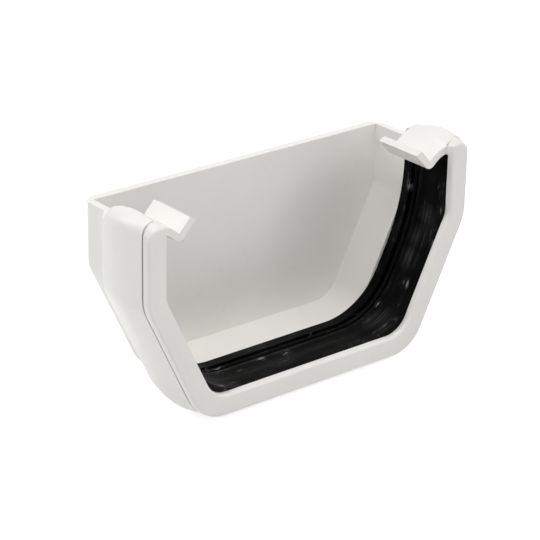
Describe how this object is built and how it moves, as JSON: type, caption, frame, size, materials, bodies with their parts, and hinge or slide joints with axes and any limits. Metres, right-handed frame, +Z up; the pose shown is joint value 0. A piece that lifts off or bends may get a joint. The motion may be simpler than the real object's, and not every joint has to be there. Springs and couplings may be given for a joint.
{
  "type": "gutter stop end",
  "caption": "White end cap for a square-line gutter: a channel closed by a flat plate, with hooked lugs over its walls and a black rubber seal behind a front frame.",
  "frame": {"origin": "middle of the end plate's inner face, where the gutter's end seats", "axes": "+Z up, -Y out of the open front along the gutter, +X across the gutter's width"},
  "size_m": [0.1316, 0.0407, 0.0724],
  "materials": {
    "white_plastic": "smooth moulded white plastic",
    "frame_plastic": "smooth moulded white plastic",
    "black_rubber": "smooth black rubber with a slight sheen"
  },
  "bodies": {
    "root": {"cap_body": "white_plastic", "front_frame": "frame_plastic", "rubber_seal": "black_rubber"}
  },
  "joints": []
}
